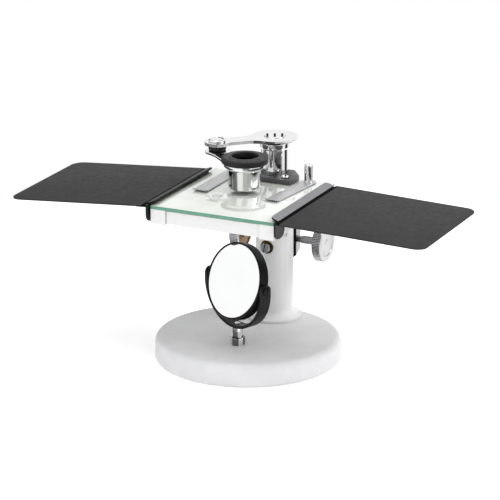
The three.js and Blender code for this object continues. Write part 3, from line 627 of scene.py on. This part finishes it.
# ---------------------------------------------------------------- focusing parts
def make_friction_screw():
    low, high = extent("friction_bush")
    z = middle("friction_bush").z
    screw_low = extent("friction_screw")[0]
    out = PILLAR.y - low.y
    bush = along_front(washer("friction_bush_fine", [(2.2, 10.75), (4.7, 10.75), (4.7, out), (2.2, out)], 64))
    show(shift(bush, PILLAR.x, PILLAR.y, z), "friction_bush", turned_brass)
    screw = slotted_screw("friction_screw_fine", 3.6, 3.5, 2, 3)
    turn(screw, "Z", 80)
    shift(screw, 0, 0, PILLAR.y - screw_low.y - 3.5)
    show(shift(along_front(screw), PILLAR.x, PILLAR.y, z), "friction_screw", dark_steel_and_painted_shade)


KNOB_RADIUS = 13.6
KNOB_THICKNESS = 6.7
RECESS_DEPTH = 1.8
GROOVE_DEPTH = 0.35
AXLE = joint_place("pinion_turn")


def on_axle(made, side):
    """Lays a piece drawn upright for the right-hand knob on the pinion's axis, on the side asked for."""
    along_x(made)
    if side < 0:
        mirrored(made)
    return shift(made, AXLE.x, AXLE.y, AXLE.z)


def knob_wheel(name, face, hub):
    """A wheel with a grooved rim, a raised ring and boss on its outer face, and a recess inside."""
    inner = face - KNOB_THICKNESS
    floor = inner + RECESS_DEPTH
    seat = face - 1.6
    sunk = face - 0.35
    inside = [(0, seat), (hub, seat), (hub, floor), (11.2, floor), (11.2, inner), (13.0, inner)]
    rim = [(KNOB_RADIUS, inner + 0.6), (KNOB_RADIUS, face - 0.6)]
    outside = [(13.0, face), (9.6, face), (9.2, sunk), (2.6, sunk), (2.2, face - 0.1), (0, face - 0.1)]

    def grooved(r, z, i):
        return r - GROOVE_DEPTH if r > KNOB_RADIUS - 0.1 and i % 5 in (0, 1) else r

    return turned(name, soften([*inside, *rim, *outside], 0.15), 360, False, grooved)


def in_painted_groove_shade(face):
    out = (face.center.yz / MM - Vector((AXLE.y, AXLE.z))).length
    return abs(face.normal.x) < 0.3 and KNOB_RADIUS - 0.5 < out < KNOB_RADIUS - 0.2


def knob_insert(name, inner, hub):
    """The brass ring that fills the recess on the knob's inner side."""
    floor = inner + RECESS_DEPTH - 0.05
    dish = floor - 1.15
    boss = [(hub, floor), (hub, inner - 0.4), (hub + 1.6, inner - 0.4), (hub + 1.6, dish)]
    plate = [(6.5, dish - 0.15), (7.0, dish + 0.2), (10.4, dish + 0.2), (11.0, dish), (11.0, floor)]
    return washer(name, [*boss, *plate], 96, 0.2)


def make_knobs():
    hub = 2.95
    for side, label in ((-1, "left"), (1, "right")):
        low, high = extent(f"focus_knob_{label}")
        face = max(abs(low.x), abs(high.x))
        wheel = on_axle(knob_wheel(f"focus_knob_{label}_fine", face, hub), side)
        show(wheel, f"focus_knob_{label}", knurl_chrome, 28)
        second_finish(wheel, knob_face, lambda polygon: abs(polygon.normal.x) > 0.8)
        # The grooves between the ribs are painted dark: painted shade in the knurling.
        second_finish(wheel, blackening_and_painted_shade, in_painted_groove_shade)
        insert = knob_insert(f"knob_insert_{label}_fine", face - KNOB_THICKNESS, hub)
        show(on_axle(insert, side), f"knob_insert_{label}", turned_brass)
    end = extent("pinion_shaft")[1].x
    thick, thin = 2.9, 2.25
    ends = [(thin, 15.8), (thick, 16), (thick, end), (0, end)]
    profile = [(r, -z) for r, z in reversed(ends)] + ends
    shaft = turned("pinion_shaft_fine", soften(profile, 0.2), 64)
    show(on_axle(shaft, 1), "pinion_shaft", dark_steel_and_painted_shade)


def make_post():
    radius, neck = 9.6, 5
    low, high = extent("lens_post")
    c_low, c_high = extent("post_collar")
    top = c_low.z - 0.05
    shank = [(0, low.z), (radius - 0.6, low.z), (radius, low.z + 0.6), (radius, top)]
    post = turned("lens_post_fine", soften([*shank, (neck, top), (neck, high.z), (0, high.z)], 0.15), ROUND)
    slot_top = extent("focus_rack")[1].z + 1
    cut(post, block("slot_tool", (-2.55, 5.5, low.z - 1), (2.55, 12, slot_top), 0))
    show(shift(post, PILLAR.x, PILLAR.y), "lens_post", bright_chrome)
    bore = neck + 0.1
    side = [(10.2, c_low.z + 0.7), (10.2, c_high.z - 0.3), (9.9, c_high.z)]
    collar = washer("post_collar_fine", [(bore, c_low.z), (radius, c_low.z), *side, (bore, c_high.z)])
    show(shift(collar, PILLAR.x, PILLAR.y), "post_collar", bright_chrome)
    w_low, w_high = extent("arm_washer")
    ring = [(bore, w_low.z), (9.4, w_low.z), (9.4, w_high.z), (bore, w_high.z)]
    spacer = washer("arm_washer_fine", ring)
    show(shift(spacer, PILLAR.x, PILLAR.y), "arm_washer", black_rubber)


def make_cap_nut():
    """The nut on the arm's head. Three dark studs stand in a row on it."""
    radius, stud_height, spacing = 7.4, 1.3, 5.2
    low, high = extent("arm_cap_nut")
    top = high.z - stud_height
    disc = [(0, low.z), (radius, low.z), (radius, top - 0.2), (radius - 0.4, top), (0, top)]
    cap = turned("arm_cap_nut_fine", soften(disc, 0.15), 96)
    peg = soften([(0, top - 0.3), (0.8, top - 0.3), (0.8, high.z), (0, high.z)], 0.25)
    for step in (-1, 0, 1):
        join(cap, shift(turned("stud_piece", peg, 32), step * spacing))
    turn(cap, "Z", 27)
    show(shift(cap, PILLAR.x, PILLAR.y), "arm_cap_nut", arm_chrome)
    second_finish(cap, blackening_and_painted_shade, lambda face: face.center.z > (top + 0.02) * MM)


# ---------------------------------------------------------------- arms and loupe
ELBOW = joint_place("elbow_swing")
LENS = middle("lens_barrel")


def arm_outline(waist, length, head):
    """A bar that widens into its round head, which stands on the origin."""
    start = head * math.sqrt(0.5)
    reach = (start - waist) * math.sqrt(2)
    corner = start + reach * math.sqrt(0.5)
    upper = []
    for i in range(13):
        t = i / 12
        x = start * (1 - t) ** 2 + corner * 2 * t * (1 - t) + (corner + reach) * t ** 2
        y = start * (1 - t) ** 2 + waist * 2 * t * (1 - t) + waist * t ** 2
        upper.append((x, y))
    upper.append((length, waist))
    return [(x, -y) for x, y in upper] + upper[::-1]


def bearing(start, end):
    return math.degrees(math.atan2(end.y - start.y, end.x - start.x))


def make_upper_arm():
    low, high = extent("upper_arm")
    length = (ELBOW - PILLAR).xy.length
    head_radius = 15.98
    bar = slab("upper_arm_fine", arm_outline(6.1, length, 16), low.z, high.z, 0)
    rim = [(0, low.z), (14.7, low.z), (head_radius, low.z + 0.9), (head_radius, high.z), (0, high.z)]
    end = rod("end_piece", 8.9, low.z, high.z, 96)
    join(bar, turned("head_piece", rim, 144), shift(end, length))
    seat = rod("seat_tool", 7.6, high.z - 0.95, 160, 96)
    cut(bar, rod("pivot_tool", 5.25, 140, 160), seat, shift(rod("screw_tool", 2.2, 140, 160), length))
    round_edges(bar, 0.35, 3, 50)
    turn(bar, "Z", bearing(PILLAR, ELBOW))
    show(shift(bar, PILLAR.x, PILLAR.y), "upper_arm", arm_chrome)
    second_finish(bar, satin_edge, lambda face: abs(face.normal.z) < 0.5)

    def on_painted_shade_chamfer(face):
        return -0.97 < face.normal.z < -0.3 and (face.center / MM - PILLAR).xy.length > 14

    # The downward chamfers of the bar are painted dark: painted shade under the arm.
    second_finish(bar, blackening_and_painted_shade, on_painted_shade_chamfer)
    # The faces at the elbow end, turned away from the pillar, are painted darker: painted shade on that end.
    outward = (ELBOW - PILLAR).xy.normalized()
    second_finish(bar, dark_steel_and_painted_shade, lambda face: face.normal.xy.dot(outward) > 0.35)


def make_elbow():
    """The elbow's screw has a ringed head with a slot across its dished middle."""
    top = extent("elbow_screw")[1].z
    head, height, shank, length = 6, 1.8, 2.05, 9.7
    stem = [(0, -length), (shank, -length), (shank, 0), (head, 0), (head, height - 0.6)]
    ring = [(head - 0.7, height), (head - 1.5, height), (head - 2.3, height - 0.5), (0, height - 0.7)]
    screw = turned("elbow_screw_fine", soften([*stem, *ring], 0.25), 96)
    cut(screw, block("slot_tool", (-8, -0.8, height - 0.9), (8, 0.8, height + 2), 0))
    turn(screw, "Z", bearing(PILLAR, ELBOW) + 75)
    show(shift(screw, ELBOW.x, ELBOW.y, top - height), "elbow_screw", bright_chrome)
    low, high = extent("elbow_spacer")
    foot = [(2.2, low.z), (5.6, low.z), (6.2, low.z + 0.8)]
    cap = [(6.2, high.z - 0.8), (5.6, high.z), (2.2, high.z)]
    spacer = washer("elbow_spacer_fine", [*foot, *cap], 96, 0.4)
    show(shift(spacer, ELBOW.x, ELBOW.y), "elbow_spacer", black_rubber)


def make_lower_arm():
    low, high = extent("lower_arm")
    length = (LENS - ELBOW).xy.length
    thick, ring_top, half = 1.8, 141.2, 8.2
    step_start, step_end = 8.2, length - 16.6
    upper = [(length, ring_top), (step_end, ring_top), (step_start, high.z), (0, high.z)]
    lower = [(x, z - thick) for x, z in reversed(upper)]
    bar = turn(slab("lower_arm_fine", [*lower, *upper], -half, half, 0), "X", 90)
    end = rod("end_piece", 8.5, high.z - thick, high.z, 96)
    rim = 14.48
    profile = [(0, low.z), (12.4, low.z), (rim, low.z + 1.8), (rim, ring_top), (0, ring_top)]
    ring = turned("ring_piece", profile, 144)
    join(bar, end, shift(ring, length))
    cut(bar, rod("screw_tool", 2.25, 130, 160), shift(rod("lens_tool", 11.55, 130, 160, 128), length))
    round_edges(bar, 0.25, 3, 40)
    turn(bar, "Z", bearing(ELBOW, LENS))
    show(shift(bar, ELBOW.x, ELBOW.y), "lower_arm", arm_chrome)


def make_loupe():
    bore, radius, flange = 9.3, 11.3, 12.4
    low, high = extent("lens_barrel")
    seat = high.z - 1
    wall = [(bore, low.z), (radius - 0.5, low.z), (radius, low.z + 0.5), (radius, seat)]
    tube = [*wall, (flange, seat), (flange, high.z), (bore, high.z)]
    barrel = washer("lens_barrel_fine", tube, ROUND, 0.2)
    # The barrel's chrome carries painted reflection bands.
    show(shift(barrel, LENS.x, LENS.y), "lens_barrel", tube_chrome_painted_reflections)
    # The barrel's bore is painted black: painted shade inside the tube.
    second_finish(barrel, painted_shade_black, lambda face: (face.center / MM - LENS).xy.length < bore + 0.2)
    c_low, c_high = extent("eyecup")
    inner, outer, hole = flange + 0.15, 16.3, 9.1
    edge = c_high.z - 1.2
    side = [(inner, c_low.z), (outer - 0.6, c_low.z), (outer, c_low.z + 0.6), (outer, edge)]
    brim = [(outer - 1.5, edge + 0.5), (hole + 0.6, c_high.z), (hole, c_high.z - 0.6)]
    cup = [*side, *brim, (hole, high.z + 0.1), (inner, high.z + 0.1)]
    eyecup = washer("eyecup_fine", cup, ROUND, 0.5)
    show(shift(eyecup, LENS.x, LENS.y), "eyecup", black_rubber, 50)


# ---------------------------------------------------------------- mirror
MIRROR_PIVOT = joint_place("mirror_tilt")
MIRROR_AXIS = JOINTS["mirror_tilt"]["axis"]
FORK_TURN = math.degrees(math.atan2(MIRROR_AXIS[1], MIRROR_AXIS[0]))
FORK_INNER = 27.6
FORK_OUTER = 29.8
FORK_LOWEST = -33.0
CELL_DEPTH = 4.1
CELL_LIP = 0.6
MIRROR_GLASS = 25.5
GLASS_THICKNESS = 1.8


def make_fork():
    half = 4.2
    drop = -FORK_LOWEST - FORK_OUTER
    outside = arc((0, -drop), FORK_OUTER, 180, 360, 64)
    inside = arc((0, -drop), FORK_INNER, 360, 180, 64)
    band = [(-FORK_OUTER, 0), *outside, (FORK_OUTER, 0), (FORK_INNER, 0), *inside, (-FORK_INNER, 0)]
    hoop = turn(slab("mirror_fork_fine", band, -half, half, 0), "X", 90)
    spans = ((FORK_INNER, FORK_OUTER), (-FORK_OUTER, -FORK_INNER))
    join(hoop, *[along_x(rod("ear_piece", half, start, end, 64)) for start, end in spans])
    stem_hole = rod("stem_tool", 2.1, FORK_LOWEST - 2, FORK_LOWEST + FORK_OUTER - FORK_INNER + 2)
    cut(hoop, along_x(rod("pivot_tool", 1.7, -40, 40)), stem_hole)
    round_edges(hoop, 0.35, 2, 50)
    turn(hoop, "Z", FORK_TURN)
    show(shift(hoop, *MIRROR_PIVOT), "mirror_fork", black_enamel)


def make_pivot_screws():
    for side, label in ((-1, "left"), (1, "right")):
        screw = slotted_screw(f"mirror_pivot_screw_{label}_fine", 3, 1.3, 1.5, 4.5)
        along_x(shift(screw, 0, 0, FORK_OUTER + 0.05))
        if side < 0:
            turn(screw, "Z", 180)
        turn(screw, "Z", FORK_TURN)
        show(shift(screw, *MIRROR_PIVOT), f"mirror_pivot_screw_{label}", black_enamel)


def make_stem():
    low, high = extent("mirror_stem")
    top = FORK_LOWEST + MIRROR_PIVOT.z
    radius, foot, tip = 3.6, 2.8, 2.0
    step = 17.1
    lower = [(0, low.z), (foot, low.z), (foot, step), (radius, step + 0.2), (radius, top - 0.2)]
    upper = [(tip, top - 0.05), (tip, high.z), (0, high.z)]
    stem = turned("mirror_stem_fine", soften([*lower, *upper], 0.2), 64)
    # The stem's chrome carries painted reflection bands.
    show(shift(stem, MIRROR_PIVOT.x, MIRROR_PIVOT.y), "mirror_stem", tube_chrome_painted_reflections)
    low, high = extent("mirror_socket")
    ring = [(3.8, low.z), (5.3, low.z), (5.3, high.z - 0.5), (4.8, high.z), (3.8, high.z)]
    socket = washer("mirror_socket_fine", ring, 64)
    # The socket's chrome carries painted reflection bands.
    show(shift(socket, MIRROR_PIVOT.x, MIRROR_PIVOT.y), "mirror_socket", tube_chrome_painted_reflections)


def mirror_pose():
    """The mirror's place in its fork: it faces front and left and tips up, half a degree less than in CAD."""
    tilt = -17
    turned_fork = Matrix.Rotation(math.radians(FORK_TURN), 4, "Z")
    return Matrix.Translation(MIRROR_PIVOT * MM) @ turned_fork @ Matrix.Rotation(math.radians(tilt), 4, "X")


def make_mirror():
    pose = mirror_pose()
    rim = 26.8
    seat = MIRROR_GLASS + 0.1
    face = CELL_DEPTH - CELL_LIP
    back = face - GLASS_THICKNESS
    floor = back - 0.1
    front = [(rim, CELL_DEPTH - 0.6), (rim - 0.5, CELL_DEPTH), (seat, CELL_DEPTH), (seat, floor), (0, floor)]
    profile = [(r, -z) for r, z in reversed(front)] + front
    cell = along_front(turned("mirror_cell_fine", soften(profile, 0.25), 160))
    bores = [along_x(rod("bore_tool", 1.65, *span)) for span in ((22.5, 40), (-40, -22.5))]
    cut(cell, *bores)
    show(set_matrix(cell, pose), "mirror_cell", black_enamel)
    profile = [(0, back), (MIRROR_GLASS, back), (MIRROR_GLASS, face), (0, face)]
    plane = along_front(turned("plane_mirror_fine", soften(profile, 0.15), 128))
    show(set_matrix(plane, pose), "plane_mirror", silver)
    dish = 1.0
    sphere = (MIRROR_GLASS ** 2 + dish ** 2) / (2 * dish)
    hollow = []
    for i in range(13):
        r = MIRROR_GLASS * i / 12
        hollow.append((r, face - dish + sphere - math.sqrt(sphere ** 2 - r * r)))
    concave = turned("concave_mirror_fine", [*hollow, (MIRROR_GLASS, back), (0, back)], 128)
    show(set_matrix(along_rear(concave), pose), "concave_mirror", silver)


# ---------------------------------------------------------------- hand rests
def make_hand_rests():
    """Each leaf is drawn from its inner edge and droops outward. That edge stands in the hook's shade,
    painted on the leaf as a black strip of painted shade.
    """
    inner, length, front, rear, top, thick, corner = 49.5, 105.4, -60.7, 37.2, 120.8, 1.3, 8
    shaded = 2.2
    for side, label, droop in ((-1, "left", 4.6), (1, "right", 1.9)):
        outline = [
            (0, front + 1.5),
            (1.5, front),
            *arc((length - corner, front + corner), corner, 270, 360, 16),
            *arc((length - corner, rear - corner), corner, 0, 90, 16),
            (1.5, rear),
            (0, rear - 1.5),
        ]
        leaf = slab(f"hand_rest_{label}_fine", outline, -thick, 0, 0.3, 3)
        divide(leaf, shaded)
        turn(leaf, "Y", droop)
        shift(leaf, inner, 0, top)
        if side < 0:
            mirrored(leaf)
        show(leaf, f"hand_rest_{label}", leaf_enamel)
        # The strip along the inner edge is painted black: painted shade of the hook.
        second_finish(leaf, painted_shade_black, lambda face: abs(face.center.x) < (inner + shaded) * MM)


# CAD nodes that stay as they are get their edges rounded and a finish.
CARRIED = {
    "pillar_bolt": dark_steel_and_painted_shade,
    "stage_frame": frame_enamel,
    "rail_screw_left": satin_steel,
    "rail_screw_right": satin_steel,
    "friction_pad": natural_nylon,
    # The pinion saddle is painted shade: black without gloss where a dark gap shows.
    "pinion_saddle": painted_shade_black,
    "pinion_cover": cover_steel,
    "pinion_cover_screw_1": dark_steel_and_painted_shade,
    "pinion_cover_screw_2": dark_steel_and_painted_shade,
    "pinion_cover_screw_3": dark_steel_and_painted_shade,
    "pinion_cover_screw_4": dark_steel_and_painted_shade,
    "pinion_gear": turned_brass,
    "focus_rack": satin_steel,
    "elbow_nut": bright_chrome,
    "eye_lens": lens_clear,
    "field_lens": lens_clear,
    "lens_spacer": black_enamel,
    "lens_retainer": black_enamel,
    "hand_rest_hook_left": hook_enamel,
    "hand_rest_hook_right": hook_enamel,
}


def finish_carried():
    for node, finish in CARRIED.items():
        solid = frame["nodes"][node]
        solid.data.materials.clear()
        solid.data.materials.append(finish)
        bevel = solid.modifiers.new("edges", "BEVEL")
        bevel.width = 0.2 * MM
        bevel.segments = 2
        bevel.limit_method = "ANGLE"
        bevel.angle_limit = math.radians(40)
    lip_level = 121.3
    right_hook = frame["nodes"]["hand_rest_hook_right"]
    # The right lip's top is painted lighter grey: painted sheen, while the left lip stays black.
    second_finish(right_hook, right_lip_painted_sheen, lambda face: face.normal.z > 0.85 and face.center.z > lip_level * MM)


make_base()
make_pillar()
make_guide_screw()
make_stage_glass()
make_guide_plate()
make_clips()
make_friction_screw()
make_knobs()
make_post()
make_cap_nut()
make_upper_arm()
make_elbow()
make_lower_arm()
make_loupe()
make_fork()
make_stem()
make_pivot_screws()
make_mirror()
make_hand_rests()
finish_carried()

# ---------------------------------------------------------------- floor, light and camera
AZIMUTH = 25.34
ELEVATION = 17.96
DISTANCE = 2142.5 * MM
AIM = Vector((1.32, 0, 78.03)) * MM
FOCAL = 222.8

floor_nodes = Nodes("floor_white").set(Roughness=0.9, Specular_IOR_Level=0.1, Emission_Strength=0.25)
floor_nodes.shader.inputs["Emission Color"].default_value = (1, 1, 1, 1)
floor_nodes.link(floor_nodes.grey_ramp(floor_nodes.noise(4, 2), 0.94, 0.96), "Base Color")
floor = rod("floor", 420, -4, 0, 96)
floor.data.materials.append(floor_nodes.material)

world = bpy.data.worlds.new("studio")
bpy.context.scene.world = world
world.use_nodes = True
WHITE = (1, 1, 1)
# Each dark card in the reflections: its middle and half width in degrees, its soft edge, and its grey.
DARK_CARDS = [(32, 22, 6, 0.22), (131, 18, 5, 0.03), (-128, 16, 6, 0.12)]


def math_node(tree, operation, *values):
    node = tree.nodes.new("ShaderNodeMath")
    node.operation = operation
    feed(tree, node.inputs, values)
    return node.outputs[0]


def light_card(tree, azimuth, centre, half, soft):
    """1 inside a band of azimuths, fading to 0 over a soft edge."""
    away = math_node(tree, "COSINE", math_node(tree, "SUBTRACT", azimuth, math.radians(centre)))
    edge = math.cos(math.radians(half))
    inner = math.cos(math.radians(half - soft))
    ramp = tree.nodes.new("ShaderNodeMapRange")
    feed(tree, [ramp.inputs["Value"], ramp.inputs["From Min"], ramp.inputs["From Max"]], [away, edge, inner])
    return ramp.outputs[0]


def make_world():
    """White all round for light. Reflections also meet dark cards, given by azimuth from the front."""
    tree = world.node_tree
    place = tree.nodes.new("ShaderNodeTexCoord").outputs["Generated"]
    parts = tree.nodes.new("ShaderNodeSeparateXYZ")
    tree.links.new(place, parts.inputs[0])
    toward_front = math_node(tree, "MULTIPLY", parts.outputs["Y"], -1)
    azimuth = math_node(tree, "ARCTAN2", parts.outputs["X"], toward_front)
    colour = WHITE
    for centre, half, soft, grey in DARK_CARDS:
        colour = mixed(tree, light_card(tree, azimuth, centre, half, soft), colour, (grey, grey, grey))
    path = tree.nodes.new("ShaderNodeLightPath").outputs
    reflected = math_node(tree, "GREATER_THAN", path["Is Glossy Ray"], path["Is Transmission Ray"])
    tree.links.new(mixed(tree, reflected, WHITE, colour), tree.nodes["Background"].inputs["Color"])


def aim_from(made, azimuth, elevation, distance):
    """Puts a light or camera at a place in degrees round the object, from the front, and turns it to AIM."""
    a, e = math.radians(azimuth), math.radians(elevation)
    back = Vector((math.sin(a) * math.cos(e), -math.cos(a) * math.cos(e), math.sin(e)))
    made.location = AIM + back * distance
    made.rotation_euler = back.to_track_quat("Z", "Y").to_euler()
    bpy.context.scene.collection.objects.link(made)


def area_light(name, azimuth, elevation, distance, size, power):
    light = bpy.data.lights.new(name, "AREA")
    light.shape = "DISK"
    light.size = size
    light.energy = power
    made = bpy.data.objects.new(name, light)
    made.visible_camera = False
    aim_from(made, azimuth, elevation, distance)


make_world()
area_light("key", 110, 40, 1.4, 0.7, 9)
area_light("top", -40, 75, 1.5, 0.9, 6)

view = bpy.context.scene.view_settings
view.view_transform = "Standard"
view.look = "None"

lens = bpy.data.cameras.new("camera")
lens.lens = FOCAL
lens.sensor_width = 36
lens.clip_start = 0.05
lens.clip_end = 20
camera = bpy.data.objects.new("camera", lens)
aim_from(camera, AZIMUTH, ELEVATION, DISTANCE)
bpy.context.scene.camera = camera
